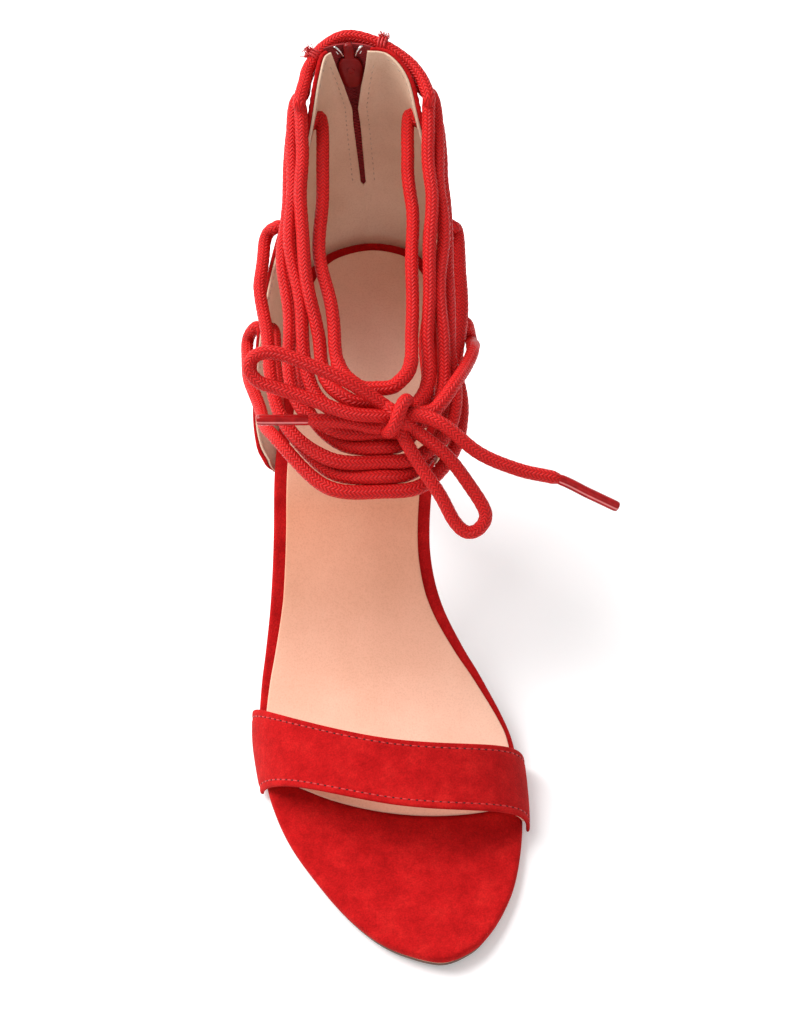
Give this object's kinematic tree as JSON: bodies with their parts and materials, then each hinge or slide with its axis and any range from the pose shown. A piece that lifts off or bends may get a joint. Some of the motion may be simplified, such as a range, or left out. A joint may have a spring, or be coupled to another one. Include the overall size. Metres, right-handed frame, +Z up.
{
  "type": "lace-up high-heel sandal",
  "caption": "Open-toe high-heel sandal for the right foot: suede toe band and heel quarter, back zip, and a round cord laced over the instep and tied in a bow.",
  "frame": {"origin": "on the floor under the middle of the shoe", "axes": "+Z up, -Y to the toe, +X to the big-toe side"},
  "size_m": [0.1068, 0.2135, 0.1707],
  "materials": {
    "red_suede": "matt nap",
    "nude_leather": "satin",
    "sole_leather": "waxed edge",
    "tip_rubber": "matt",
    "waxed_cotton": "braided",
    "red_lacquer": "gloss",
    "zip_tape": "woven tape with coil teeth",
    "lace_film": "clear film over cord"
  },
  "bodies": {
    "shoe": {"outsole": "sole_leather", "footbed": "red_suede", "insole_sock": "nude_leather", "heel": "red_suede", "heel_tip": "tip_rubber", "toe_band": "red_suede", "heel_quarter": "red_suede", "zip_chain": "zip_tape", "zip_slider": "red_lacquer", "lace_bar_1": "waxed_cotton", "lace_bar_5": "waxed_cotton", "lace_bar_6": "waxed_cotton", "lace_bar_7": "waxed_cotton", "lace_bar_8": "waxed_cotton", "lace_turn_lower": "waxed_cotton", "lace_turn_upper": "waxed_cotton", "lace_over_strand": "waxed_cotton", "lace_knot": "waxed_cotton", "lace_loop_lateral": "waxed_cotton", "lace_loop_medial": "waxed_cotton", "lace_end_lateral": "waxed_cotton", "lace_end_medial": "waxed_cotton", "lace_tip_lateral": "lace_film", "lace_tip_medial": "lace_film"},
    "pull": {"zip_pull": "red_lacquer"}
  },
  "joints": [
    {"name": "zip_pull_swing", "type": "hinge", "parent": "shoe", "child": "pull", "pos_m": [-0.00482, 0.0988, 0.1605], "axis": [1, 0, 0], "range_deg": [0, 95]}
  ]
}
